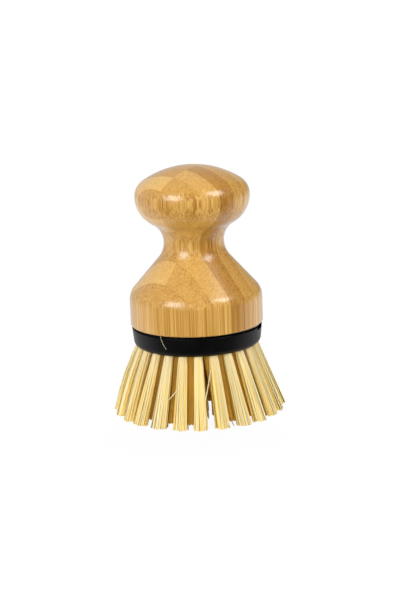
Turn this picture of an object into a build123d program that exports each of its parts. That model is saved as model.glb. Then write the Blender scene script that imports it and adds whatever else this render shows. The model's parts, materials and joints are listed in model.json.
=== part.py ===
from build123d import *
import os
from math import acos, atan2, ceil, cos, degrees, hypot, radians

# Palm brush, in millimetres: a turned bamboo handle over a round head of splayed tufts.
# The head plugs into a socket in the handle's base and pulls off.
# The origin is on the plane of the trimmed tips, on the brush's axis, with +Z up the handle.

# Head and bristles
bristle_height = 28.3
head_height = 7.9
head_top_radius = 27.5
head_wall_draft = 0.55
head_edge_radius = 2.2
head_rim_chamfer = 0.15

# Tufts stand in circles of holes that all point away from one place above the head
tufts_per_step = 6
core_ring_turn = 30
outer_ring_margin = 3.35
outer_tip_circle_radius = 34.1
tuft_hole_radius = 2.0
tuft_hole_depth = 5.5
tuft_seat_clearance = 0.04
tuft_tip_radius = 2.95
fold_thickness = 0.8
strands_per_tuft = 6
trim_depth = 0.5

# Flat wire anchors, driven across the holes
anchor_thickness = 0.25
anchor_height = 1.3
anchor_bite = 0.3
anchor_clearance = 0.03

# Notch in the head's top edge, for a coin
notch_width = 7.3
notch_depth = 1.3
notch_reach = 2.4
notch_angle = -16

# Plug on the head, with two keys and four spring fingers
plug_radius = 9.5
plug_wall = 1.7
plug_height = 8.5
plug_lead_chamfer = 0.6
plug_clearance = 0.08
key_width = 2.4
key_reach = 1.1
key_clearance = 0.12
finger_slit_width = 1.4
finger_root_height = 1.2

# Socket in the handle, with the rim that shows as the joint line
rim_radius = 26.6
rim_height = 1.0
socket_wall = 2.6
socket_floor = 1.8
socket_headroom = 0.7
mouth_chamfer = 0.5
glue_gap = 0.1

# Wood screw through the socket's floor
screw_radius = 1.9
screw_bite = 0.25
screw_length = 17.0
screw_tip_length = 3.5
screw_tip_radius = 0.4
screw_head_radius = 3.7
screw_head_height = 2.1
screw_head_chamfer = 0.6
screw_hole_clearance = 0.3
driver_slot_width = 0.9
driver_slot_length = 4.2
driver_slot_depth = 1.2

# Handle
base_radius = 28.0
base_edge_chamfer = 1.0
band_height = 10.75
shoulder_radius = 7.5
waist_radius = 12.65
waist_height = 34.9
lower_sweep_radius = 10.4
upper_sweep_radius = 9.1
knob_radius = 24.0
knob_height = 54.1
crown_height = 12.65
crown_edge_radius = 7.8

# How far a flat of a turned round may cut inside it
flat_rise = 0.2

# How far a cut runs past the face that it opens
cut_overrun = 1.0

# Heights above the resting plane
head_bottom = bristle_height
head_top = head_bottom + head_height
handle_bottom = head_top + rim_height
socket_bore_top = head_top + plug_height + socket_headroom
socket_top = socket_bore_top + socket_floor

# Radii of the plug's seat
socket_bore_radius = plug_radius + plug_clearance
socket_radius = socket_bore_radius + socket_wall

# Counts and places of the tufts: each ring takes six more than the ring inside it
head_bottom_radius = head_top_radius - head_wall_draft
ring_names = {4: "outer", 3: "middle", 2: "inner"}
outer_ring = max(ring_names)
ring_pitch = (head_bottom_radius - outer_ring_margin) / outer_ring
splay_share = outer_tip_circle_radius / (outer_ring * ring_pitch) - 1


def facing_down(height):
    """The plane at a height that looks down, so that a hole in it goes up."""
    return Plane(origin=(0, 0, height), z_dir=(0, 0, -1))


def turned_arc(centre, radius, start_angle, arc_size):
    """The points of a round stretch of an outline, turned in short flats that keep close to the arc."""
    arc = CenterArc(centre, radius, start_angle, arc_size)
    flat_angle = 2 * degrees(acos(1 - flat_rise / radius))
    count = ceil(abs(arc_size) / flat_angle)
    return [arc @ (step / count) for step in range(count + 1)]


def tuft_plane(ring, angle=0):
    """The plane of a tuft hole's mouth, with Z out along the tuft and X along its circle."""
    root = ring * ring_pitch
    mouth = Vector(root, 0, head_bottom).rotate(Axis.Z, angle)
    along_circle = Vector(0, 1, 0).rotate(Axis.Z, angle)
    outward = Vector(root * splay_share, 0, -bristle_height).rotate(Axis.Z, angle)
    return Plane(origin=mouth, x_dir=along_circle, z_dir=outward)


def ring_angles(ring):
    """The places of a ring's tufts round the brush: the innermost ring is turned against the rest."""
    count = max(1, ring * tufts_per_step)
    first = core_ring_turn if ring == 1 else 0
    return [first + 360 * index / count for index in range(count)]


os.makedirs("parts", exist_ok=True)

# Handle: its outline is a band, a shoulder, a cone, the waist, the knob's underside and its crown
shoulder_centre = (base_radius - shoulder_radius, handle_bottom + band_height)
lower_sweep_centre = (waist_radius + lower_sweep_radius, handle_bottom + waist_height)
upper_sweep_centre = (waist_radius + upper_sweep_radius, handle_bottom + waist_height)
centre_run = lower_sweep_centre[0] - shoulder_centre[0]
centre_rise = lower_sweep_centre[1] - shoulder_centre[1]
cone_angle = degrees(
    atan2(centre_rise, centre_run)
    - acos((shoulder_radius + lower_sweep_radius) / hypot(centre_run, centre_rise))
)

# The two arcs from the waist to the knob meet where both lean by this angle
knob_swell = knob_radius - waist_radius
knob_rise = knob_height - waist_height
sweep_sum = (knob_swell**2 + knob_rise**2) / (2 * knob_swell)
underside_radius = sweep_sum - upper_sweep_radius
underside_angle = degrees(acos((sweep_sum - knob_swell) / sweep_sum))
knob_middle = handle_bottom + knob_height
underside_centre = (knob_radius - underside_radius, knob_middle)

# The crown is a flat dome that runs into a rounder edge
crown_edge_centre = (knob_radius - crown_edge_radius, knob_middle)
handle_top = knob_middle + crown_height
dome_radius = (crown_edge_centre[0] ** 2 + crown_height**2 - crown_edge_radius**2) / (
    2 * (crown_height - crown_edge_radius)
)
dome_centre = (0, handle_top - dome_radius)
dome_angle = degrees(atan2(crown_edge_centre[0], crown_edge_centre[1] - dome_centre[1]))

outline = [
    (0, handle_bottom),
    (base_radius - base_edge_chamfer, handle_bottom),
    (base_radius, handle_bottom + base_edge_chamfer),
    *turned_arc(shoulder_centre, shoulder_radius, 0, cone_angle),
    *turned_arc(lower_sweep_centre, lower_sweep_radius, 180 + cone_angle, -cone_angle),
    *turned_arc(upper_sweep_centre, upper_sweep_radius, 180, -underside_angle)[1:],
    *turned_arc(underside_centre, underside_radius, -underside_angle, underside_angle)[1:],
    *turned_arc(crown_edge_centre, crown_edge_radius, 0, 90 - dome_angle)[1:],
    *turned_arc(dome_centre, dome_radius, 90 - dome_angle, dome_angle)[1:],
]

with BuildPart() as handle:
    with BuildSketch(Plane.XZ):
        with BuildLine():
            Polyline(*outline, close=True)
        make_face()
    revolve(axis=Axis.Z)
    with Locations(facing_down(handle_bottom - cut_overrun)):
        CounterBoreHole(
            radius=screw_radius - screw_bite,
            counter_bore_radius=socket_radius + glue_gap,
            counter_bore_depth=socket_top + glue_gap - handle_bottom + cut_overrun,
            depth=socket_bore_top + screw_length - handle_bottom + cut_overrun,
        )
handle.part.label = "handle"

# Socket: a cup glued into the handle, under a rim that seats on the bamboo
with BuildPart() as handle_socket:
    with BuildSketch(Plane.XY.offset(head_top)):
        Circle(rim_radius)
    extrude(amount=rim_height)
    with BuildSketch(Plane.XY.offset(handle_bottom)):
        Circle(socket_radius)
    extrude(amount=socket_top - handle_bottom)
    with Locations(facing_down(head_top - cut_overrun)):
        CounterBoreHole(
            radius=screw_radius + screw_hole_clearance,
            counter_bore_radius=socket_bore_radius,
            counter_bore_depth=socket_bore_top - head_top + cut_overrun,
            depth=socket_top - head_top + 2 * cut_overrun,
        )
    mouth_edges = handle_socket.edges().filter_by(GeomType.CIRCLE).group_by(Axis.Z)[0]
    chamfer(mouth_edges.sort_by(SortBy.RADIUS)[0], length=mouth_chamfer)
    with BuildSketch(Plane.XY.offset(head_top)):
        Rectangle(2 * (plug_radius + key_reach + key_clearance), key_width + 2 * key_clearance)
    extrude(amount=socket_bore_top - head_top, mode=Mode.SUBTRACT)
handle_socket.part.label = "handle_socket"

# Wood screw, with its head on the socket's floor
head_underside = socket_bore_top - screw_head_height
screw_end = socket_bore_top + screw_length
with BuildPart() as socket_screw:
    with BuildSketch(Plane.XZ):
        with BuildLine():
            Polyline(
                (0, head_underside),
                (screw_head_radius - screw_head_chamfer, head_underside),
                (screw_head_radius, head_underside + screw_head_chamfer),
                (screw_head_radius, socket_bore_top),
                (screw_radius, socket_bore_top),
                (screw_radius, screw_end - screw_tip_length),
                (screw_tip_radius, screw_end),
                (0, screw_end),
                close=True,
            )
        make_face()
    revolve(axis=Axis.Z)
    with BuildSketch(Plane.XY.offset(head_underside)):
        with PolarLocations(0, 2, angular_range=180):
            Rectangle(driver_slot_length, driver_slot_width)
    extrude(amount=driver_slot_depth, mode=Mode.SUBTRACT)
socket_screw.part.label = "socket_screw"

# Head: a drafted disc with a split plug above it and the tuft holes below
edge_centre = (head_bottom_radius - head_edge_radius, head_bottom + head_edge_radius)
disc_outline = [
    (0, head_bottom),
    *turned_arc(edge_centre, head_edge_radius, -90, 90),
    (head_top_radius, head_top - head_rim_chamfer),
    (head_top_radius - head_rim_chamfer, head_top),
    (0, head_top),
]

with BuildPart() as brush_disc:
    with BuildSketch(Plane.XZ):
        with BuildLine():
            Polyline(*disc_outline, close=True)
        make_face()
    revolve(axis=Axis.Z)

    # Plug and its keys
    with BuildSketch(Plane.XY.offset(head_top)):
        Circle(plug_radius)
    extrude(amount=plug_height)
    chamfer(brush_disc.edges().group_by(Axis.Z)[-1], length=plug_lead_chamfer)
    with BuildSketch(Plane.XY.offset(head_top)):
        Rectangle(2 * (plug_radius + key_reach), key_width)
    extrude(amount=plug_height - plug_lead_chamfer)

    # The hollow between the spring fingers, and the slits that part them
    with BuildSketch(Plane.XY.offset(head_top)):
        Circle(plug_radius - plug_wall)
    extrude(amount=plug_height + cut_overrun, mode=Mode.SUBTRACT)
    with BuildSketch(Plane.XY.offset(head_top + finger_root_height)):
        with PolarLocations(0, 4, start_angle=45):
            with Locations((plug_radius, 0)):
                Rectangle(2 * plug_wall + cut_overrun, finger_slit_width)
    extrude(amount=plug_height, mode=Mode.SUBTRACT)

    # Notch for a coin, open to the side
    with BuildSketch(Plane.XY.offset(head_top - notch_depth)):
        with PolarLocations(head_top_radius, 1, start_angle=notch_angle):
            Rectangle(2 * notch_reach, notch_width)
    extrude(amount=notch_depth + cut_overrun, mode=Mode.SUBTRACT)

    # Tuft holes, six-sided to seat the tufts' folds
    hole_planes = [
        tuft_plane(ring, angle).offset(cut_overrun)
        for ring in range(outer_ring + 1)
        for angle in ring_angles(ring)
    ]
    with BuildSketch(*hole_planes):
        RegularPolygon(tuft_hole_radius, side_count=strands_per_tuft)
    extrude(amount=-tuft_hole_depth - cut_overrun, mode=Mode.SUBTRACT)
brush_disc.part.label = "brush_disc"

# Six three-sided strands make a tuft, three on each side of its anchor.
# They spread from the fold and are as thick as the hole's mouth lets them be:
# each reaches its radius towards the tuft's middle, and half of it towards the hole's wall.
fold_reach_share = (tuft_hole_depth - fold_thickness) / (tuft_hole_depth - fold_thickness + bristle_height)
strand_gap = anchor_thickness + 2 * anchor_clearance
mouth_reach = tuft_hole_radius * cos(radians(180 / strands_per_tuft)) - tuft_seat_clearance
strand_radius = (
    mouth_reach - strand_gap * (1 - fold_reach_share) - tuft_tip_radius * fold_reach_share
) / (1.5 - 2 * fold_reach_share)


def strand(mouth, place_angle):
    """One strand, from the fold at the bottom of its hole to just below the resting plane."""
    place = Vector(1, 0, 0).rotate(Axis.Z, place_angle)
    fold_place = place * (strand_radius + strand_gap) + Vector(0, 0, fold_thickness - tuft_hole_depth)
    tip_place = place * (tuft_tip_radius - strand_radius) + Vector(0, 0, -mouth.origin.Z / mouth.z_dir.Z)
    root = mouth.from_local_coords(fold_place)
    tip = mouth.from_local_coords(tip_place)
    side = mouth.from_local_coords(fold_place + place) - root
    with BuildPart() as one_strand:
        with BuildSketch(Plane(origin=root, x_dir=side, z_dir=tip - root)):
            RegularPolygon(strand_radius, side_count=3, rotation=180)
        extrude(amount=(tip - root).length + strand_radius + trim_depth)
        extrude(one_strand.faces().sort_by(Axis.Z)[-1], amount=fold_thickness / 2)
    return one_strand.part


def tuft_on_ring(ring):
    """A tuft of strands on their fold, trimmed flat on the resting plane."""
    mouth = tuft_plane(ring)
    step = 360 / strands_per_tuft
    strands = [strand(mouth, step * (index + 0.5)) for index in range(strands_per_tuft)]
    with BuildPart() as tuft:
        with BuildSketch(mouth.offset(-tuft_hole_depth)):
            RegularPolygon(tuft_hole_radius - tuft_seat_clearance, side_count=strands_per_tuft)
        extrude(amount=fold_thickness)
        add(strands)
        split(bisect_by=Plane.XY, keep=Keep.TOP)
    return tuft.part


def anchor_on_ring(ring):
    """The flat wire under a tuft's fold, longer than its hole is wide."""
    mouth = tuft_plane(ring)
    with BuildPart() as anchor:
        with BuildSketch(mouth.offset(fold_thickness - tuft_hole_depth)):
            Rectangle(2 * (tuft_hole_radius + anchor_bite), anchor_thickness)
        extrude(amount=anchor_height)
    return anchor.part


# Tufts of the three outer circles, each its own piece
pieces = [handle, handle_socket, socket_screw, brush_disc]
for ring, ring_name in ring_names.items():
    ring_tuft = tuft_on_ring(ring)
    for index, angle in enumerate(ring_angles(ring)):
        with BuildPart() as tuft:
            add(ring_tuft.rotate(Axis.Z, angle))
        tuft.part.label = f"{ring_name}_tuft_{index + 1:02d}"
        pieces.append(tuft)

# The middle tuft and the circle round it
with BuildPart() as core_tufts:
    add([tuft_on_ring(ring).rotate(Axis.Z, angle) for ring in (0, 1) for angle in ring_angles(ring)])
core_tufts.part.label = "core_tufts"

with BuildPart() as tuft_anchors:
    add(
        [
            anchor_on_ring(ring).rotate(Axis.Z, angle)
            for ring in range(outer_ring + 1)
            for angle in ring_angles(ring)
        ]
    )
tuft_anchors.part.label = "tuft_anchors"

for piece in pieces + [core_tufts, tuft_anchors]:
    export_step(piece.part, f"parts/{piece.part.label}.step")
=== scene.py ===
import bpy
import bmesh
import json
import math
import random
from mathutils import Matrix, Vector

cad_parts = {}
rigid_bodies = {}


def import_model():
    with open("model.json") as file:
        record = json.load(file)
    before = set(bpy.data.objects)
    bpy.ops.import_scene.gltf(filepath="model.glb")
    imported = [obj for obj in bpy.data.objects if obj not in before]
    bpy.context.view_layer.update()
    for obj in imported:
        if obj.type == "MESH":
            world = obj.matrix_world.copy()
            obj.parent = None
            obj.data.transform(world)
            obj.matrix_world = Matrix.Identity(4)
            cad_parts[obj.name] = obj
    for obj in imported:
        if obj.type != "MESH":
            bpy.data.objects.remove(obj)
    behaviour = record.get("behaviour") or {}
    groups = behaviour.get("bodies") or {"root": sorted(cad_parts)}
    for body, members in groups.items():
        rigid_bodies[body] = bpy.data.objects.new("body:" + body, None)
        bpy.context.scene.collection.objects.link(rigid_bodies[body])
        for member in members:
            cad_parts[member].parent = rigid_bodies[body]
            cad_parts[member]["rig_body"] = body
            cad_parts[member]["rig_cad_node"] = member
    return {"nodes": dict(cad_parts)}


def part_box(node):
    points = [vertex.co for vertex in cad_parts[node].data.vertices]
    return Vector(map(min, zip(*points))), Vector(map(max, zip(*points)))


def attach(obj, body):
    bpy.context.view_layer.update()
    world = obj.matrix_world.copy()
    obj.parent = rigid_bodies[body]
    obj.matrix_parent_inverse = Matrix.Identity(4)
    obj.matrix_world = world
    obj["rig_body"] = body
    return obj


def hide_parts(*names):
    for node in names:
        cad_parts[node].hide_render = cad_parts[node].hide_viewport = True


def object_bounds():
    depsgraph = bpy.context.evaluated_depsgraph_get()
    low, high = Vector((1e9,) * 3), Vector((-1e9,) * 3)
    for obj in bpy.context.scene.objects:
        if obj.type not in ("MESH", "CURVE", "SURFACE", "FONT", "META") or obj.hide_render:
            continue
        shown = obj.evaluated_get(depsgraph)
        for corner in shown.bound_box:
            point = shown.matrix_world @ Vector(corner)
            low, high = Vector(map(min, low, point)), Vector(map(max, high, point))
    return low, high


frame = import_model()
cadLow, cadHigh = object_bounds()
mm = 0.001
white = (1, 1, 1, 1)
mergeWithin = 0.002 * mm         # corners nearer to each other than this become one


# small helpers

def deselectAll():
    if bpy.context.object and bpy.context.object.mode != "OBJECT":
        bpy.ops.object.mode_set(mode="OBJECT")
    bpy.ops.object.select_all(action="DESELECT")


def makeActive(piece):
    deselectAll()
    piece.select_set(True)
    bpy.context.view_layer.objects.active = piece


def srgb(red, green, blue):
    # colour as seen on a screen, 0 to 255, to the linear one that a shader takes
    def linear(level):
        share = level / 255
        return share / 12.92 if share <= 0.04045 else ((share + 0.055) / 1.055) ** 2.4
    return (linear(red), linear(green), linear(blue), 1)


def addNode(tree, kind, settings=None, inputs=None):
    node = tree.nodes.new(kind)
    for name, value in (settings or {}).items():
        setattr(node, name, value)
    for name, value in (inputs or {}).items():
        if isinstance(value, bpy.types.NodeSocket):
            tree.links.new(value, node.inputs[name])
        else:
            node.inputs[name].default_value = value
    return node


def maths(tree, operation, first, second=0.0, clamp=False):
    settings = {"operation": operation, "use_clamp": clamp}
    return addNode(tree, "ShaderNodeMath", settings, {0: first, 1: second}).outputs[0]


def axes(tree, vector):
    return addNode(tree, "ShaderNodeSeparateXYZ", None, {0: vector}).outputs


def mixed(tree, kind, share, first, second):
    # each kind of value has its own pair of sockets on the node
    firstSocket, output = {"FLOAT": (2, 0), "VECTOR": (4, 1), "RGBA": (6, 2)}[kind]
    inputs = {0: share, firstSocket: first, firstSocket + 1: second}
    return addNode(tree, "ShaderNodeMix", {"data_type": kind}, inputs).outputs[output]


def spread(tree, value, low, high, toLow=0.0, toHigh=1.0):
    # value from low to high becomes toLow to toHigh, and no more
    inputs = {"Value": value, "From Min": low, "From Max": high, "To Min": toLow, "To Max": toHigh}
    return addNode(tree, "ShaderNodeMapRange", None, inputs).outputs[0]


def colourRamp(tree, value, stops, interpolation="LINEAR"):
    node = addNode(tree, "ShaderNodeValToRGB", None, {"Fac": value})
    ramp = node.color_ramp
    ramp.interpolation = interpolation
    while len(ramp.elements) < len(stops):
        ramp.elements.new(1.0)
    for element, (place, colour) in zip(ramp.elements, stops):
        element.position = place
        element.color = colour
    return node.outputs["Color"]


def stretched(tree, vector, crossSize, lengthSize):
    # coordinates in cells of crossSize across the fibres and lengthSize along them
    scale = (1 / crossSize, 1 / crossSize, 1 / lengthSize)
    inputs = {"Vector": vector, "Scale": scale}
    return addNode(tree, "ShaderNodeMapping", {"vector_type": "POINT"}, inputs).outputs[0]


def noise(tree, place, settings):
    # settings give its size and, where it is drawn out, its length
    n = settings
    vector = stretched(tree, place, n["size"], n.get("length", n["size"]))
    inputs = {"Vector": vector, "Scale": 1.0, "Detail": n["detail"], "Roughness": n["roughness"]}
    return addNode(tree, "ShaderNodeTexNoise", None, inputs).outputs["Fac"]


def noiseSpread(tree, field, settings, toLow, toHigh):
    return spread(tree, field, settings["low"], settings["high"], toLow, toHigh)


def bump(tree, height, settings):
    inputs = {"Strength": settings["strength"], "Distance": settings["depth"], "Height": height}
    return addNode(tree, "ShaderNodeBump", None, inputs)


def newMaterial(name, shaderInputs):
    material = bpy.data.materials.new(name)
    material.use_nodes = True
    tree = material.node_tree
    shader = tree.nodes["Principled BSDF"]
    for key, value in shaderInputs.items():
        shader.inputs[key].default_value = value
    place = addNode(tree, "ShaderNodeTexCoord").outputs["Object"]
    return material, tree, shader, place


def dress(piece, material):
    piece.data.materials.clear()
    piece.data.materials.append(material)


# bamboo: upright strips glued side by side, turned and lacquered
bamboo = {
    "look": {"Roughness": 0.42, "Coat Weight": 0.95, "Coat Roughness": 0.19, "Coat IOR": 1.62},
    "layerAzimuth": -44,         # the way the glued layers face, in degrees from the front to the right
    "layerThickness": 7.33 * mm,
    "seamOffset": 4.0 * mm,      # the butt joint between two strips of a layer
    "stripWidth": 20 * mm,
    "leftTones": (0.45, 0.62, 0.40, 0.55, 0.38, 0.40, 0.76, 0.46),
    "rightTones": (0.52, 0.38, 0.60, 0.44, 0.20, 0.58, 0.48, 0.45),
    "toneFrom": 0.22,            # a tone of 0 gives this level in the colours
    "toneReach": 0.62,           # and a tone of 1 this much more
    "patternShift": 300 * mm,    # how far the pattern can be shifted from one strip to the next
    # each grain has an amount for a cut across it, an end, and one for a cut along it, a side
    "dots": {"size": 0.75 * mm, "length": 70 * mm, "randomness": 0.8, "endAmount": 0.22, "sideAmount": 0.36},
    "dotReach": (0.56, 0.36),    # dots get smaller from one face of a layer to the other
    "streaks": {"size": 0.5 * mm, "length": 110 * mm, "detail": 3.0, "roughness": 0.6,
                "low": 0.32, "high": 0.68, "endAmount": 0.20, "sideAmount": 0.38},
    "bands": {"size": 2.6 * mm, "length": 160 * mm, "detail": 2.0, "roughness": 0.5,
              "low": 0.34, "high": 0.66, "endAmount": 0.03, "sideAmount": 0.17},
    "endUpright": 0.75,          # a face that looks up or down by this much is a cut across the grain
    "sideUpright": 0.10,
    "glueFrom": 0.485,           # out from a layer's middle, as a share of its thickness
    "glueAmount": 0.14,
    "grain": {"strength": 0.10, "depth": 0.12 * mm},
    "peel": {"size": 0.9 * mm, "detail": 2.0, "roughness": 0.7, "strength": 0.6, "depth": 0.1 * mm},
    "colours": [
        (0.0, srgb(128, 72, 10)),
        (0.34, srgb(180, 126, 38)),
        (0.68, srgb(220, 172, 88)),
        (1.0, srgb(246, 214, 142)),
    ],
}


def bambooMaterial():
    b = bamboo
    material, tree, shader, place = newMaterial("lacqueredBamboo", b["look"])
    turn = math.radians(b["layerAzimuth"])
    layerWay = (math.sin(turn), -math.cos(turn), 0)
    stripWay = (math.cos(turn), math.sin(turn), 0)

    def distanceAlong(way):
        node = addNode(tree, "ShaderNodeVectorMath", {"operation": "DOT_PRODUCT"}, {0: place, 1: way})
        return node.outputs["Value"]

    # which layer and which strip of it a point is in
    layerPlace = maths(tree, "DIVIDE", distanceAlong(layerWay), b["layerThickness"])
    layerIndex = maths(tree, "FLOOR", layerPlace)
    layerShare = maths(tree, "FRACT", layerPlace)
    stripPlace = maths(tree, "SUBTRACT", distanceAlong(stripWay), b["seamOffset"])
    stripIndex = maths(tree, "FLOOR", maths(tree, "DIVIDE", stripPlace, b["stripWidth"]))

    # each layer has a tone for its strips left of the butt joint, and one for those right of it
    count = len(b["leftTones"])
    rampPlace = maths(tree, "DIVIDE", maths(tree, "ADD", layerIndex, count / 2 + 0.5), count)

    def toneRamp(tones):
        stops = [(index / count, (tone, tone, tone, 1)) for index, tone in enumerate(tones)]
        return colourRamp(tree, rampPlace, stops, "CONSTANT")

    isRight = maths(tree, "GREATER_THAN", stripIndex, -0.5)
    tone = mixed(tree, "RGBA", isRight, toneRamp(b["leftTones"]), toneRamp(b["rightTones"]))

    # the pattern starts anew in each strip
    cell = addNode(tree, "ShaderNodeCombineXYZ", None, {"X": layerIndex, "Y": stripIndex, "Z": 0.0}).outputs[0]
    cellNoise = addNode(tree, "ShaderNodeTexWhiteNoise", {"noise_dimensions": "3D"}, {"Vector": cell})
    shift = addNode(tree, "ShaderNodeVectorMath", {"operation": "MULTIPLY_ADD"},
                    {0: cellNoise.outputs["Color"], 1: (b["patternShift"],) * 3, 2: place}).outputs[0]

    # bundles of fibres: dots on a cut across the grain, streaks along it
    d = b["dots"]
    dotPlace = stretched(tree, shift, d["size"], d["length"])
    dots = addNode(tree, "ShaderNodeTexVoronoi", {"feature": "F1"},
                   {"Vector": dotPlace, "Scale": 1.0, "Randomness": d["randomness"]}).outputs["Distance"]
    dotReach = spread(tree, layerShare, 0.0, 1.0, *b["dotReach"])
    dotMask = maths(tree, "SUBTRACT", 1.0, maths(tree, "DIVIDE", dots, dotReach), True)

    # light and dark together: the grain is strong where the cut runs along the fibres
    normal = addNode(tree, "ShaderNodeTexCoord").outputs["Normal"]
    upright = maths(tree, "ABSOLUTE", axes(tree, normal)["Z"])
    sideGrain = spread(tree, upright, b["endUpright"], b["sideUpright"])
    level = maths(tree, "ADD", maths(tree, "MULTIPLY", tone, b["toneReach"]), b["toneFrom"])

    def amountOf(grain):
        return spread(tree, sideGrain, 0.0, 1.0, grain["endAmount"], grain["sideAmount"])

    for grain in (b["streaks"], b["bands"]):
        field = noiseSpread(tree, noise(tree, shift, grain), grain, -0.5, 0.5)
        level = maths(tree, "ADD", level, maths(tree, "MULTIPLY", field, amountOf(grain)))
    level = maths(tree, "SUBTRACT", level, maths(tree, "MULTIPLY", dotMask, amountOf(d)))

    # a faint line of glue between the layers
    fromMiddle = maths(tree, "ABSOLUTE", maths(tree, "SUBTRACT", layerShare, 0.5))
    glue = spread(tree, fromMiddle, b["glueFrom"], 0.5, 0.0, b["glueAmount"])
    level = maths(tree, "SUBTRACT", level, glue, True)
    tree.links.new(colourRamp(tree, level, b["colours"]), shader.inputs["Base Color"])

    # the grain telegraphs a little through the lacquer, which has an uneven skin of its own
    tree.links.new(bump(tree, level, b["grain"]).outputs[0], shader.inputs["Normal"])
    skin = noise(tree, place, b["peel"])
    tree.links.new(bump(tree, skin, b["peel"]).outputs[0], shader.inputs["Coat Normal"])
    return material


blackPlastic = {
    "look": {"Specular IOR Level": 0.2},
    "colour": srgb(8, 8, 9),
    "colourShares": (0.8, 1.25),     # its darkest and its lightest, as shares of that colour
    "roughness": (0.33, 0.41),
    "flow": {"size": 9 * mm, "detail": 2.0, "roughness": 0.5, "low": 0.3, "high": 0.7},
    "grain": {"size": 0.35 * mm, "detail": 2.0, "roughness": 0.6, "strength": 0.08, "depth": 0.03 * mm},
}


def blackPlasticMaterial():
    p = blackPlastic
    material, tree, shader, place = newMaterial("satinBlackPlastic", p["look"])
    grain = noise(tree, place, p["grain"])
    flow = noise(tree, place, p["flow"])
    dark, light = [tuple(level * share for level in p["colour"][:3]) + (1,) for share in p["colourShares"]]
    stops = [(p["flow"]["low"], dark), (p["flow"]["high"], light)]
    tree.links.new(colourRamp(tree, flow, stops), shader.inputs["Base Color"])
    tree.links.new(noiseSpread(tree, flow, p["flow"], *p["roughness"]), shader.inputs["Roughness"])
    tree.links.new(bump(tree, grain, p["grain"]).outputs[0], shader.inputs["Normal"])
    return material


fibreLook = {
    "look": {"Roughness": 0.55, "Specular IOR Level": 0.12},
    "colours": [
        (0.0, srgb(104, 88, 62)),        # painted shade: the dark grey of a stray fibre in shadow
        # painted shade: the deep amber of tufts seen in the gaps between the outer tufts
        (0.05, srgb(255, 178, 14)),
        (0.4, srgb(252, 206, 100)),
        (0.65, srgb(246, 222, 152)),
        (1.0, srgb(248, 236, 194)),
    ],
    "root": srgb(226, 212, 178),         # paler where it comes out of the head
    "rootFrom": 15 * mm,
    "rootTo": 28 * mm,
    "rootShare": 0.4,
    "rootTones": (0.2, 0.6),             # but not where the tone is deep with painted shade
    # painted light: the pale colour given to the trimmed ends
    "cut": srgb(250, 226, 164),
    "cutFrom": 0.7,                      # a face that looks up or down by this much is a trimmed end
    "cutTo": 0.9,
    "endLightShare": 0.7,
    "grain": {"size": 0.12 * mm, "length": 6 * mm, "detail": 2.0, "roughness": 0.5,
              "low": 0.3, "high": 0.7, "strength": 0.15, "depth": 0.03 * mm},
    "grainReach": 0.07,                  # how far the grain takes the tone up and down
    "tuftShare": 0.8,                    # how much of the shading follows the tuft and not the one fibre
}


def fibreMaterial():
    f = fibreLook
    material, tree, shader, place = newMaterial("blondFibre", f["look"])
    tone = addNode(tree, "ShaderNodeAttribute", {"attribute_name": "fibreTone"}).outputs["Fac"]
    grain = noise(tree, place, f["grain"])
    wander = noiseSpread(tree, grain, f["grain"], -f["grainReach"], f["grainReach"])
    level = maths(tree, "ADD", tone, wander, True)
    rootShare = spread(tree, axes(tree, place)["Z"], f["rootFrom"], f["rootTo"], 0.0, f["rootShare"])
    rootShare = maths(tree, "MULTIPLY", rootShare, spread(tree, tone, *f["rootTones"]))
    colour = mixed(tree, "RGBA", rootShare, colourRamp(tree, level, f["colours"]), f["root"])

    # the trimmed ends are painted paler: painted light on ends that little light reaches
    normal = addNode(tree, "ShaderNodeTexCoord").outputs["Normal"]
    upright = maths(tree, "ABSOLUTE", axes(tree, normal)["Z"])
    cutEnd = spread(tree, upright, f["cutFrom"], f["cutTo"])
    endLit = mixed(tree, "RGBA", maths(tree, "MULTIPLY", cutEnd, f["endLightShare"]), colour, f["cut"])
    tree.links.new(endLit, shader.inputs["Base Color"])

    # close fibres shade as one rounded tuft, but for their cut ends
    tuftWay = addNode(tree, "ShaderNodeAttribute", {"attribute_name": "tuftWay"}).outputs["Vector"]
    ownWay = addNode(tree, "ShaderNodeNewGeometry").outputs["Normal"]
    share = spread(tree, cutEnd, 0.0, 1.0, f["tuftShare"], 0.0)
    skin = bump(tree, grain, f["grain"])
    tree.links.new(mixed(tree, "VECTOR", share, ownWay, tuftWay), skin.inputs["Normal"])
    tree.links.new(skin.outputs[0], shader.inputs["Normal"])
    return material


steel = {
    "look": {"Metallic": 1.0},
    "colours": [(0.3, srgb(176, 176, 172)), (0.7, srgb(214, 214, 210))],
    "roughness": (0.24, 0.38),
    "mottle": {"size": 0.8 * mm, "detail": 3.0, "roughness": 0.6, "low": 0.3, "high": 0.7},
}


def steelMaterial():
    s = steel
    material, tree, shader, place = newMaterial("zincPlatedSteel", s["look"])
    mottle = noise(tree, place, s["mottle"])
    tree.links.new(colourRamp(tree, mottle, s["colours"]), shader.inputs["Base Color"])
    tree.links.new(noiseSpread(tree, mottle, s["mottle"], *s["roughness"]), shader.inputs["Roughness"])
    return material


bambooFinish = bambooMaterial()
plasticFinish = blackPlasticMaterial()
fibreFinish = fibreMaterial()
steelFinish = steelMaterial()
print("materials made")


# handle: the outline is drawn on one side of the axis and spun round it
handleShape = {
    "bandHeight": 10.75 * mm,
    "edgeRound": 0.8 * mm,
    "shoulderRadius": 7.5 * mm,
    "waistRadius": 12.65 * mm,
    "waistHeight": 34.9 * mm,
    "lowerSweep": 10.4 * mm,
    "upperSweep": 9.1 * mm,
    "knobRadius": 24 * mm,
    "knobHeight": 54.1 * mm,
    "crownEdge": 7.8 * mm,
    "boreRadius": 12.28 * mm,
    "boreDepth": 10.1 * mm,
    "screwHoleRadius": 1.65 * mm,
    "screwHoleDepth": 25.2 * mm,
    "arcStep": 4.0,              # degrees of an arc between two of its points
    "spinSteps": 144,
    "smoothAngle": 35,
}


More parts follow.
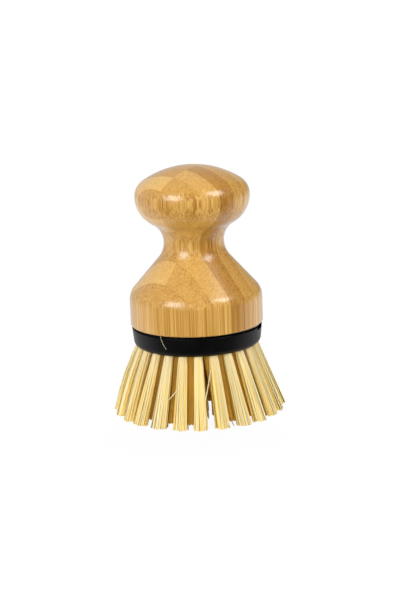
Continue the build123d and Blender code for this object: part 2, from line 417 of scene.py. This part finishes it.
def arcPoints(centre, radius, start, sweep):
    count = max(2, math.ceil(abs(sweep) / handleShape["arcStep"]))
    angles = [math.radians(start + sweep * step / count) for step in range(count + 1)]
    return [(centre[0] + radius * math.cos(a), centre[1] + radius * math.sin(a)) for a in angles]


def handleOutline():
    h = handleShape
    low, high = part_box("handle")
    bottom, top, baseRadius = low.z, high.z, high.x
    edgeCentre = (baseRadius - h["edgeRound"], bottom + h["edgeRound"])
    shoulder = (baseRadius - h["shoulderRadius"], bottom + h["bandHeight"])
    lower = (h["waistRadius"] + h["lowerSweep"], bottom + h["waistHeight"])
    upper = (h["waistRadius"] + h["upperSweep"], bottom + h["waistHeight"])
    run = lower[0] - shoulder[0]
    rise = lower[1] - shoulder[1]
    bothRadii = h["shoulderRadius"] + h["lowerSweep"]
    cone = math.degrees(math.atan2(rise, run) - math.acos(bothRadii / math.hypot(run, rise)))

    # the neck's upper sweep runs into the knob's underside where both lean alike
    swell = h["knobRadius"] - h["waistRadius"]
    climb = h["knobHeight"] - h["waistHeight"]
    sweepSum = (swell ** 2 + climb ** 2) / (2 * swell)
    underRadius = sweepSum - h["upperSweep"]
    underAngle = math.degrees(math.acos((sweepSum - swell) / sweepSum))
    middle = bottom + h["knobHeight"]
    under = (h["knobRadius"] - underRadius, middle)

    # the crown's edge runs into a flat dome
    crown = (h["knobRadius"] - h["crownEdge"], middle)
    crownHeight = top - middle
    fromEdge = 2 * (crownHeight - h["crownEdge"])
    domeRadius = (crown[0] ** 2 + crownHeight ** 2 - h["crownEdge"] ** 2) / fromEdge
    dome = (0, top - domeRadius)
    domeAngle = math.degrees(math.atan2(crown[0], crown[1] - dome[1]))
    return [
        (0, bottom + h["screwHoleDepth"]),
        (h["screwHoleRadius"], bottom + h["screwHoleDepth"]),
        (h["screwHoleRadius"], bottom + h["boreDepth"]),
        (h["boreRadius"], bottom + h["boreDepth"]),
        (h["boreRadius"], bottom),
        *arcPoints(edgeCentre, h["edgeRound"], -90, 90),
        *arcPoints(shoulder, h["shoulderRadius"], 0, cone),
        *arcPoints(lower, h["lowerSweep"], 180 + cone, -cone),
        *arcPoints(upper, h["upperSweep"], 180, -underAngle)[1:],
        *arcPoints(under, underRadius, -underAngle, underAngle)[1:],
        *arcPoints(crown, h["crownEdge"], 0, 90 - domeAngle)[1:],
        *arcPoints(dome, domeRadius, 90 - domeAngle, domeAngle)[1:],
    ]


def spinOutline(name, points, steps):
    # one corner of a small plane is kept and drawn out along the outline, then all is spun
    deselectAll()
    start = Vector((points[0][0], 0, points[0][1]))
    bpy.ops.mesh.primitive_plane_add(size=mm, location=start)
    piece = bpy.context.object
    piece.name = name
    bpy.ops.object.mode_set(mode="EDIT")
    bpy.ops.mesh.select_all(action="SELECT")
    bpy.ops.mesh.merge(type="CENTER")
    for (fromX, fromZ), (toX, toZ) in zip(points, points[1:]):
        bpy.ops.mesh.extrude_region_move(TRANSFORM_OT_translate={"value": (toX - fromX, 0, toZ - fromZ)})
    bpy.ops.mesh.select_all(action="SELECT")
    bpy.ops.mesh.spin(steps=steps, angle=math.tau, center=(0, 0, 0), axis=(0, 0, 1))
    bpy.ops.mesh.select_all(action="SELECT")
    bpy.ops.mesh.remove_doubles(threshold=mergeWithin)
    bpy.ops.mesh.normals_make_consistent(inside=False)
    bpy.ops.object.mode_set(mode="OBJECT")
    bpy.ops.object.transform_apply(location=True, rotation=True, scale=True)
    return piece


def turnHandle():
    piece = spinOutline("turnedHandle", handleOutline(), handleShape["spinSteps"])
    bpy.ops.object.shade_smooth_by_angle(angle=math.radians(handleShape["smoothAngle"]))
    dress(piece, bambooFinish)
    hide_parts("handle")
    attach(piece, "handle_assembly")


turnHandle()
print("handle turned")


# head: a drafted disc under a split plug with two keys, and round holes for the tufts
head = {
    "discHeight": 7.9 * mm,
    "wallDraft": 0.55 * mm,
    "edgeRadius": 2.4 * mm,
    "rimRound": 0.2 * mm,
    "plugRadius": 9.5 * mm,
    "plugWall": 1.7 * mm,
    "plugLead": 0.6 * mm,
    "keyWidth": 2.4 * mm,
    "keyReach": 1.1 * mm,
    "keyRoot": 1 * mm,               # how far the keys go down into the disc
    "slitWidth": 1.4 * mm,
    "slitAngles": (45, 135, 225, 315),
    "overrun": 2 * mm,               # how far the cut of the hollow goes on above the plug
    "fingerRoot": 1.2 * mm,
    "notchWidth": 7.3 * mm,          # a coin fits it
    "notchDepth": 1.3 * mm,
    "notchReach": 2.4 * mm,
    "notchAngle": -16,
    "holeRadius": 1.84 * mm,
    "holeDepth": 5.5 * mm,
    "holeSides": 20,
    "rings": 4,
    "ringStep": 6,                   # each circle has this many holes more than the last
    "ringPitch": 5.9 * mm,           # between the circles of holes
    "tipPitch": 8.525 * mm,          # between the circles of tips
    "coreTurn": 30,                  # the innermost circle is turned against the rest
    "spinSteps": 120,
    "smoothAngle": 32,
}
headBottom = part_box("brush_disc")[0].z


def tuftPlaces():
    # which circle, at which angle
    places = [(0, 0)]
    for ring in range(1, head["rings"] + 1):
        turn = head["coreTurn"] if ring == 1 else 0
        count = head["ringStep"] * ring
        places += [(ring, turn + 360 * step / count) for step in range(count)]
    return places


def tuftFrame(ring, angle):
    turn = Matrix.Rotation(math.radians(angle), 3, "Z")
    root = turn @ Vector((ring * head["ringPitch"], 0, headBottom))
    tip = turn @ Vector((ring * head["tipPitch"], 0, 0))
    outwards = turn @ Vector((1, 0, 0))
    along = turn @ Vector((0, 1, 0))
    return root, tip, outwards, along


def cutterBox(size, place, angle):
    turn = (0, 0, math.radians(angle))
    bpy.ops.mesh.primitive_cube_add(size=1, location=place, rotation=turn, scale=size)
    return bpy.context.object


def cutterCylinder(radius, depth, place, way, sides):
    turn = way.to_track_quat("Z", "Y").to_euler()
    bpy.ops.mesh.primitive_cylinder_add(vertices=sides, radius=radius, depth=depth,
                                        location=place, rotation=turn)
    return bpy.context.object


def joinPieces(pieces):
    deselectAll()
    for piece in pieces:
        piece.select_set(True)
    bpy.context.view_layer.objects.active = pieces[0]
    bpy.ops.object.join()
    return pieces[0]


def cutWith(piece, cutter, operation):
    makeActive(piece)
    boolean = piece.modifiers.new("cut", "BOOLEAN")
    boolean.operation = operation
    boolean.solver = "EXACT"
    boolean.object = cutter
    bpy.ops.object.modifier_apply(modifier=boolean.name)
    bpy.data.objects.remove(cutter)


def mergeDoubles(piece):
    # corners on top of each other become one, and faces without width go
    makeActive(piece)
    bpy.ops.object.mode_set(mode="EDIT")
    bpy.ops.mesh.select_all(action="SELECT")
    bpy.ops.mesh.remove_doubles(threshold=mergeWithin)
    bpy.ops.mesh.dissolve_degenerate(threshold=mergeWithin / 2)
    bpy.ops.mesh.select_all(action="DESELECT")
    bpy.ops.object.mode_set(mode="OBJECT")


def headOutline():
    h = head
    low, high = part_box("brush_disc")
    discTop = low.z + h["discHeight"]
    bottomRadius = high.x - h["wallDraft"]
    edge = (bottomRadius - h["edgeRadius"], low.z + h["edgeRadius"])
    rim = (high.x - h["rimRound"], discTop - h["rimRound"])
    return [
        (0, low.z),
        *arcPoints(edge, h["edgeRadius"], -90, 90),
        *arcPoints(rim, h["rimRound"], 0, 90),
        (h["plugRadius"], discTop),
        (h["plugRadius"], high.z - h["plugLead"]),
        (h["plugRadius"] - h["plugLead"], high.z),
        (0, high.z),
    ]


def mouldHead():
    h = head
    discTop = headBottom + h["discHeight"]
    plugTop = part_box("brush_disc")[1].z
    up = Vector((0, 0, 1))
    piece = spinOutline("mouldedHead", headOutline(), h["spinSteps"])

    # keys, and the hollow between the spring fingers
    keyHeight = plugTop - h["plugLead"] - discTop
    keySize = (2 * (h["plugRadius"] + h["keyReach"]), h["keyWidth"], keyHeight + h["keyRoot"])
    keys = cutterBox(keySize, (0, 0, discTop + keyHeight / 2 - h["keyRoot"] / 2), 0)
    cutWith(piece, keys, "UNION")
    hollowDepth = plugTop - discTop
    hollowPlace = Vector((0, 0, discTop + hollowDepth / 2 + h["overrun"] / 2))
    hollowRadius = h["plugRadius"] - h["plugWall"]
    hollow = cutterCylinder(hollowRadius, hollowDepth + h["overrun"], hollowPlace, up, h["spinSteps"])
    cutWith(piece, hollow, "DIFFERENCE")

    # slits, the coin notch and the holes
    cutters = []
    slitSize = (3 * h["plugWall"], h["slitWidth"], 2 * (hollowDepth - h["fingerRoot"]))
    for angle in h["slitAngles"]:
        turn = math.radians(angle)
        place = (math.cos(turn) * h["plugRadius"], math.sin(turn) * h["plugRadius"], plugTop)
        cutters.append(cutterBox(slitSize, place, angle))
    turn = math.radians(h["notchAngle"])
    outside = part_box("brush_disc")[1].x
    notchPlace = (math.cos(turn) * outside, math.sin(turn) * outside, discTop)
    notchSize = (2 * h["notchReach"], h["notchWidth"], 2 * h["notchDepth"])
    cutters.append(cutterBox(notchSize, notchPlace, h["notchAngle"]))
    for ring, angle in tuftPlaces():
        root, tip = tuftFrame(ring, angle)[:2]
        way = (root - tip).normalized()
        cutters.append(cutterCylinder(h["holeRadius"], 2 * h["holeDepth"], root, way, h["holeSides"]))
    cutWith(piece, joinPieces(cutters), "DIFFERENCE")
    mergeDoubles(piece)
    bpy.ops.object.shade_smooth_by_angle(angle=math.radians(h["smoothAngle"]))
    dress(piece, plasticFinish)
    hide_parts("brush_disc")
    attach(piece, "brush_head")


mouldHead()
print("head moulded")


# moulded socket and wire anchors: a merged copy of the solid, with its rounds smoothed
mouldings = [
    {"node": "handle_socket", "name": "mouldedSocket", "body": "handle_assembly", "slot": "black_plastic",
     "finish": plasticFinish, "smoothAngle": 36},
    {"node": "tuft_anchors", "name": "wireAnchors", "body": "brush_head", "slot": "steel",
     "finish": steelFinish, "smoothAngle": 36},
]


def mergedCopy(settings):
    source = frame["nodes"][settings["node"]]
    piece = source.copy()
    piece.data = source.data.copy()
    piece.name = settings["name"]
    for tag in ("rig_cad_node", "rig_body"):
        if tag in piece:
            del piece[tag]
    piece.parent = None
    bpy.context.scene.collection.objects.link(piece)
    mergeDoubles(piece)
    bpy.ops.object.shade_smooth_by_angle(angle=math.radians(settings["smoothAngle"]))
    dress(piece, settings["finish"])
    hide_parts(settings["node"])
    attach(piece, settings["body"])


for moulding in mouldings:
    mergedCopy(moulding)
dress(frame["nodes"]["socket_screw"], steelFinish)
print("moulded pieces smoothed")


# tufts: many straight fibres from a hole in the head to the trimmed tips
tuft = {
    "fibreCount": 118,
    "fibreRadius": 0.24 * mm,
    "fibreSides": 6,
    "fibreSegments": 4,
    "rootReach": 1.55 * mm,          # how far fibres stand from the tuft's middle, in the hole
    "tipReach": 2.45 * mm,           # and at the tips
    "tipReachShares": (0.94, 1.06),  # by chance, from fibre to fibre
    "tipStretch": 1.15,              # a tuft is a little wider along its circle
    "foldDepth": 4.6 * mm,
    "tipWander": 0.22 * mm,
    "bow": 0.28 * mm,
    "ragged": 0.45 * mm,
    "edgeRoom": 1.2,                 # fibre radii that a tip's middle keeps inside the outermost circle
    "endFrom": 0.999,                # from here on, as a share of its length, a fibre is cut level
    "shortShare": 0.05,              # the share of fibres that are cut short
    "shortLength": 1.4 * mm,
    "shortShares": (0.2, 1.0),       # and how much of that length they lose
    "leanWander": 0.4 * mm,          # how far a tuft's tips lean from their place
    "roundness": 0.5,                # how far the tuft's shading turns from its face to its sides
    "middleShadeTone": 0.5,               # the tone at its middle, as a share of the outermost fibres': painted shade inside the tuft
    "sideFrom": 0.7,                 # the fibres at its sides, from this far out, are deeper in colour: painted amber shade
    "sideShadeDeeper": 0.4,
    "smoothAngle": 62,
    "seed": 5,
}
# how far these tufts lean along their circle: the rest lean by chance, or in the core not at all
leans = {
    "outer_tuft_17": 0.0 * mm,
    "outer_tuft_18": 0.5 * mm,
    "outer_tuft_19": 0.1 * mm,
    "outer_tuft_20": 0.4 * mm,
    "outer_tuft_21": 0.9 * mm,
    "outer_tuft_22": 0.4 * mm,
    "outer_tuft_23": 0.6 * mm,
    "middle_tuft_05": -0.3 * mm,
    "middle_tuft_14": 0.3 * mm,
    "middle_tuft_15": 5.0 * mm,
    "middle_tuft_16": 0.2 * mm,
    "inner_tuft_10": 0.5 * mm,
    "core_tuft_30": 3.5 * mm,
    "core_tuft_270": 0.8 * mm,
    "core_tuft_330": 1.3 * mm,
}
# tufts whose tips have spread further along the circle than tipStretch says
stretches = {
    "outer_tuft_13": 1.3,
    "outer_tuft_14": 1.3,
    "outer_tuft_15": 1.35,
    "outer_tuft_16": 1.35,
    "outer_tuft_17": 1.45,
    "outer_tuft_21": 1.25,
    "outer_tuft_22": 1.35,
    "outer_tuft_23": 1.3,
    "outer_tuft_24": 1.3,
}
# tufts that swell outwards halfway down
swells = {
    "outer_tuft_12": 0.8 * mm,
    "outer_tuft_13": 1.3 * mm,
    "outer_tuft_14": 1.1 * mm,
    "outer_tuft_15": 0.5 * mm,
}
# the inner circles and the core get low tones: painted shade, the deep amber of the gaps between the outer
# tufts
rings = [
    {"ring": 4, "name": "outer_tuft", "tones": (0.5, 0.9)},
    {"ring": 3, "name": "middle_tuft", "tones": (0.14, 0.32)},
    {"ring": 2, "name": "inner_tuft", "tones": (0.14, 0.3)},
]
coreShadeTones = (0.14, 0.3)
# stray fibres, in millimetres: one hangs from the joint line, the rest cross the gaps between tufts; those of
# tone 0 take the painted shade of a fibre in shadow
strays = [
    {"node": "outer_tuft_18", "root": (-15.15, -23.9, 37.8), "tip": (-12.9, -24.7, 31.9),
     "bow": (-0.4, 0, 0), "tone": 1.0, "thickness": 0.26},
    {"node": "outer_tuft_18", "root": (-8.8, -28.8, 15.7), "tip": (-12.6, -28.6, 11.6),
     "bow": (-0.1, -0.2, 0), "tone": 0.9, "thickness": 0.8},
    {"node": "outer_tuft_20", "root": (4.9, -26.3, 22.9), "tip": (2.3, -31.5, 11.5),
     "bow": (0.1, -0.3, 0), "tone": 0.9, "thickness": 0.8},
    {"node": "outer_tuft_19", "root": (3.1, -31.0, 11.6), "tip": (3.4, -31.5, 3.9),
     "bow": (-0.1, 0, 0), "tone": 0.0, "thickness": 0.8},
    {"node": "outer_tuft_20", "root": (12.2, -30.0, 3.3), "tip": (13.6, -31.0, 0.2),
     "bow": (0, 0, 0), "tone": 0.0, "thickness": 0.7},
]
strayFacing = (0, -1, 0)


def fibreStock():
    # one straight fibre, a unit long, cut into short lengths so that it can bow
    deselectAll()
    bpy.ops.mesh.primitive_cylinder_add(vertices=tuft["fibreSides"], radius=tuft["fibreRadius"], depth=1.0)
    stock = bpy.context.object
    bpy.ops.object.mode_set(mode="EDIT")
    for step in range(1, tuft["fibreSegments"]):
        height = step / tuft["fibreSegments"] - 0.5
        bpy.ops.mesh.select_all(action="SELECT")
        bpy.ops.mesh.bisect(plane_co=(0, 0, height), plane_no=(0, 0, 1))
    bpy.ops.mesh.select_all(action="SELECT")
    bpy.ops.transform.translate(value=(0, 0, 0.5))
    bpy.ops.object.mode_set(mode="OBJECT")
    mesh = stock.data
    bpy.data.objects.remove(stock)
    return mesh


def plantFibre(target, layers, stockMesh, root, tip, bow, tone, tuftWay, thickness=1.0):
    # the fibre's own length runs from root to tip, and its end is cut level
    before = len(target.verts)
    target.from_mesh(stockMesh)
    target.verts.ensure_lookup_table()
    way = (tip - root).normalized()
    side = way.cross(Vector((0, 0, 1))).normalized()
    out = way.cross(side)
    for vert in target.verts[before:]:
        share = vert.co.z
        centre = root.lerp(tip, share) + bow * math.sin(math.pi * share)
        place = centre + (side * vert.co.x + out * vert.co.y) * thickness
        if share > tuft["endFrom"]:
            place += way * ((tip.z - place.z) / way.z)
        vert.co = place
        vert[layers["tone"]] = tone
        vert[layers["way"]] = tuftWay


def sunflower(index, count, reach):
    # evenly spread places on a round patch
    turn = index * math.pi * (3 - math.sqrt(5))
    distance = reach * math.sqrt((index + 0.5) / count)
    return Vector((distance * math.cos(turn), distance * math.sin(turn)))


def addTuft(target, layers, stockMesh, ring, angle, lean, swell, stretch, tones, dice):
    t = tuft
    root, tip, outwards, along = tuftFrame(ring, angle)
    way = (tip - root).normalized()
    across = way.cross(along)
    bottom = root - way * t["foldDepth"]
    tip = tip + outwards * lean[0] + along * lean[1]
    furthest = cadHigh.x - t["fibreRadius"] * t["edgeRoom"]
    spin = dice.uniform(0, math.tau)
    for index in range(t["fibreCount"]):
        flat = Matrix.Rotation(spin, 2) @ sunflower(index, t["fibreCount"], 1.0)
        start = bottom + (across * flat.x + along * flat.y) * t["rootReach"]
        reach = t["tipReach"] * dice.uniform(*t["tipReachShares"])
        end = tip + outwards * (flat.x * reach + dice.gauss(0, t["tipWander"]))
        end += along * (flat.y * reach * stretch + dice.gauss(0, t["tipWander"]))
        pullIn = min(1, furthest / math.hypot(end.x, end.y))
        end = Vector((end.x * pullIn, end.y * pullIn, end.z))
        height = abs(dice.gauss(0, t["ragged"] / 2))
        if dice.random() < t["shortShare"]:
            height += dice.uniform(*t["shortShares"]) * t["shortLength"]
        end += (start - end) * (height / (start.z - end.z))
        bow = outwards * (swell + dice.gauss(0, t["bow"] / 2)) + along * dice.gauss(0, t["bow"] / 2)
        # painted shade: fibres towards a tuft's middle and at its sides get deeper, amber tones
        side = max(0, abs(flat.y) - t["sideFrom"]) / (1 - t["sideFrom"])
        tone = dice.uniform(*tones) * (t["middleShadeTone"] + (1 - t["middleShadeTone"]) * flat.length)
        tone = tone * (1 - t["sideShadeDeeper"] * side)
        tuftWay = (across * flat.x + along * t["roundness"] * flat.y).normalized()
        plantFibre(target, layers, stockMesh, start, end, bow, tone, tuftWay)


def addStrays(target, layers, stockMesh, node):
    # single fibres that have come away from their tuft
    for stray in strays:
        if stray["node"] == node:
            root, tip, bow = (Vector(stray[part]) * mm for part in ("root", "tip", "bow"))
            tone, thickness = stray["tone"], stray["thickness"]
            plantFibre(target, layers, stockMesh, root, tip, bow, tone, strayFacing, thickness)


def finishTuftPiece(name, target, node):
    mesh = bpy.data.meshes.new(name)
    target.to_mesh(mesh)
    target.free()
    piece = bpy.data.objects.new(name, mesh)
    bpy.context.scene.collection.objects.link(piece)
    makeActive(piece)
    bpy.ops.object.shade_smooth_by_angle(angle=math.radians(tuft["smoothAngle"]))
    dress(piece, fibreFinish)
    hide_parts(node)
    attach(piece, "brush_head")


def newTarget():
    target = bmesh.new()
    tone = target.verts.layers.float.new("fibreTone")
    way = target.verts.layers.float_vector.new("tuftWay")
    return target, {"tone": tone, "way": way}


def plantHead():
    dice = random.Random(tuft["seed"])
    stockMesh = fibreStock()
    for row in rings:
        count = head["ringStep"] * row["ring"]
        for index in range(count):
            node = f"{row['name']}_{index + 1:02d}"
            wander = (dice.gauss(0, tuft["leanWander"]) / 2, dice.gauss(0, tuft["leanWander"]))
            lean = (wander[0], leans.get(node, wander[1]))
            swell = swells.get(node, 0)
            target, layers = newTarget()
            turn = 360 * index / count
            stretch = stretches.get(node, tuft["tipStretch"])
            addTuft(target, layers, stockMesh, row["ring"], turn, lean, swell, stretch, row["tones"], dice)
            addStrays(target, layers, stockMesh, node)
            finishTuftPiece(f"{row['name']}_fibres_{index + 1:02d}", target, node)
    target, layers = newTarget()
    addTuft(target, layers, stockMesh, 0, 0, (0, 0), 0, tuft["tipStretch"], coreShadeTones, dice)
    for step in range(head["ringStep"]):
        turn = head["coreTurn"] + 360 // head["ringStep"] * step
        lean = (0, leans.get(f"core_tuft_{turn}", 0))
        addTuft(target, layers, stockMesh, 1, turn, lean, 0, tuft["tipStretch"], coreShadeTones, dice)
    finishTuftPiece("core_tuft_fibres", target, "core_tufts")


plantHead()
print("tufts planted")


# camera at the photograph's place
view = {
    "elevation": 13.08,
    "roll": -2.17,
    "distance": 629 * mm,
    "aimRight": 1.86 * mm,
    "aimHeight": 46.17 * mm,
    "sensor": 36,
    "lens": 89.2,
    "clipStart": 50 * mm,
}


def makeCamera():
    v = view
    lift = math.radians(v["elevation"])
    camera = bpy.data.cameras.new("camera")
    camera.sensor_width = v["sensor"]
    camera.lens = v["lens"]
    camera.clip_start = v["clipStart"]
    holder = bpy.data.objects.new("camera", camera)
    bpy.context.scene.collection.objects.link(holder)
    back = Vector((0, -math.cos(lift), math.sin(lift)))
    holder.rotation_mode = "QUATERNION"
    holder.location = Vector((v["aimRight"], 0, v["aimHeight"])) + back * v["distance"]
    tilt = Matrix.Rotation(math.pi / 2 - lift, 3, "X") @ Matrix.Rotation(math.radians(v["roll"]), 3, "Z")
    holder.rotation_quaternion = tilt.to_quaternion()
    bpy.context.scene.camera = holder


makeCamera()


# stage: a white floor, soft boxes at the left and right, and weak lamps that fill the shadows at the back
# and in the front gaps, in a light room that glossy faces mirror as dark behind the camera
# glossy faces mirror the boxes, and not the fill lamps
lights = {
    "leftBox": {"azimuth": -40, "elevation": 28, "size": 330 * mm, "level": 0.39, "mirrored": True},
    "rightBox": {"azimuth": 56, "elevation": 43, "size": 295 * mm, "level": 0.32, "mirrored": True},
    "backFill": {"azimuth": 172, "elevation": 42, "size": 360 * mm, "level": 0.24, "mirrored": False},
    "frontFill": {"azimuth": 0, "elevation": 14, "size": 200 * mm, "level": 0.22, "mirrored": False},
}
room = {
    "lampDistance": 700 * mm,
    "lampAim": Vector((0, 0, 50 * mm)),
    "floorSize": 6.0,
    "floorDrop": 0.02 * mm,          # below the tips of the tufts
    "floorGlow": 0.94,               # how much of the seen floor is plain white, near the object
    "glowFrom": 42 * mm,
    "glowTo": 72 * mm,               # and where it is all plain white
    "through": 0.2,                  # the paper lets some of the room's light up through it
    # towards the camera the white paper fades into a dark table: its level there, and on the far side
    "paperFrom": -70 * mm,
    "paperTo": -10 * mm,
    "paperMirrored": (0.02, 0.7),    # as glossy faces mirror it
    "paperLighting": (0.45, 0.93),   # and as it throws light back
    # the room's light, and what glossy faces mirror of it, by where it comes from on a ball of radius 1
    "frontTo": -0.75,
    "backFrom": 0.25,
    "front": 0.68,
    "frontMirrored": 0.03,
    "back": 0.95,
    "backMirrored": 0.6,
    # the ceiling and the right-hand side have a share of that
    "ceilingFrom": 0.2,
    "ceilingTo": 0.7,
    "ceiling": 0.8,
    "ceilingMirrored": 0.6,
    "rightFrom": 0.1,
    "rightTo": 0.5,
    "right": 1.0,
    "rightMirrored": 0.12,
}


def makeLights():
    for name, settings in lights.items():
        turn = math.radians(settings["azimuth"])
        lift = math.radians(settings["elevation"])
        way = Vector((math.sin(turn) * math.cos(lift), -math.cos(turn) * math.cos(lift), math.sin(lift)))
        lamp = bpy.data.lights.new(name, "AREA")
        lamp.shape = "SQUARE"
        lamp.size = settings["size"]
        # a level of 1 lights a white face square to the lamp to full white
        lamp.energy = settings["level"] * math.pi ** 2 * room["lampDistance"] ** 2
        holder = bpy.data.objects.new(name, lamp)
        bpy.context.scene.collection.objects.link(holder)
        holder.location = room["lampAim"] + way * room["lampDistance"]
        holder.rotation_mode = "QUATERNION"
        holder.rotation_quaternion = way.to_track_quat("Z", "Y")
        holder.visible_glossy = settings["mirrored"]


def seenDirectly(tree):
    # 1 for what the camera sees, also through glass
    path = addNode(tree, "ShaderNodeLightPath")
    seen = maths(tree, "MAXIMUM", path.outputs["Is Camera Ray"], path.outputs["Is Transmission Ray"])
    return seen, path


def makeFloor():
    r = room
    deselectAll()
    bpy.ops.mesh.primitive_plane_add(size=r["floorSize"], location=(0, 0, -r["floorDrop"]))
    floor = bpy.context.object
    floor.name = "floor"
    material = bpy.data.materials.new("whiteFloor")
    material.use_nodes = True
    tree = material.node_tree
    tree.nodes.remove(tree.nodes["Principled BSDF"])
    seen, path = seenDirectly(tree)
    place = addNode(tree, "ShaderNodeTexCoord").outputs["Object"]

    # white paper, with a level of its own where glossy faces mirror it
    depth = axes(tree, place)["Y"]
    mirrored = spread(tree, depth, r["paperFrom"], r["paperTo"], *r["paperMirrored"])
    lighting = spread(tree, depth, r["paperFrom"], r["paperTo"], *r["paperLighting"])
    paperLevel = mixed(tree, "FLOAT", path.outputs["Is Glossy Ray"], lighting, mirrored)
    paper = addNode(tree, "ShaderNodeBsdfDiffuse", None, {"Color": paperLevel}).outputs[0]

    # the camera sees it as plain white, with a faint shadow near the object
    glow = addNode(tree, "ShaderNodeEmission", None, {"Color": white, "Strength": 1.0}).outputs[0]
    away = addNode(tree, "ShaderNodeVectorMath", {"operation": "LENGTH"}, {0: place}).outputs["Value"]
    glowShare = spread(tree, away, r["glowFrom"], r["glowTo"], r["floorGlow"], 1.0)
    share = maths(tree, "MULTIPLY", seen, glowShare)
    top = addNode(tree, "ShaderNodeMixShader", None, {0: share, 1: paper, 2: glow}).outputs[0]

    # from underneath it isn't there, and it lets some light up through it
    clear = addNode(tree, "ShaderNodeBsdfTransparent").outputs[0]
    through = maths(tree, "MULTIPLY", path.outputs["Is Diffuse Ray"], r["through"])
    under = maths(tree, "MAXIMUM", addNode(tree, "ShaderNodeNewGeometry").outputs["Backfacing"], through)
    whole = addNode(tree, "ShaderNodeMixShader", None, {0: under, 1: top, 2: clear}).outputs[0]
    tree.links.new(whole, tree.nodes["Material Output"].inputs["Surface"])
    dress(floor, material)


def makeWorld():
    r = room
    world = bpy.data.worlds.new("room")
    bpy.context.scene.world = world
    world.use_nodes = True
    tree = world.node_tree
    way = addNode(tree, "ShaderNodeTexCoord").outputs["Generated"]
    sides = axes(tree, way)
    seen, path = seenDirectly(tree)

    def either(side):
        # one level for light that falls on the brush, another for what its glossy faces mirror
        return spread(tree, path.outputs["Is Glossy Ray"], 0.0, 1.0, r[side], r[side + "Mirrored"])

    level = spread(tree, sides["Y"], r["frontTo"], r["backFrom"], either("front"), either("back"))
    ceilingShare = spread(tree, sides["Z"], r["ceilingFrom"], r["ceilingTo"], 1.0, either("ceiling"))
    rightShare = spread(tree, sides["X"], r["rightFrom"], r["rightTo"], 1.0, either("right"))
    level = maths(tree, "MULTIPLY", maths(tree, "MULTIPLY", level, ceilingShare), rightShare)
    background = tree.nodes["Background"]
    tree.links.new(maths(tree, "MAXIMUM", level, seen), background.inputs["Strength"])
    background.inputs["Color"].default_value = white


makeLights()
makeFloor()
makeWorld()
bpy.context.scene.view_settings.view_transform = "Standard"
print("stage set")
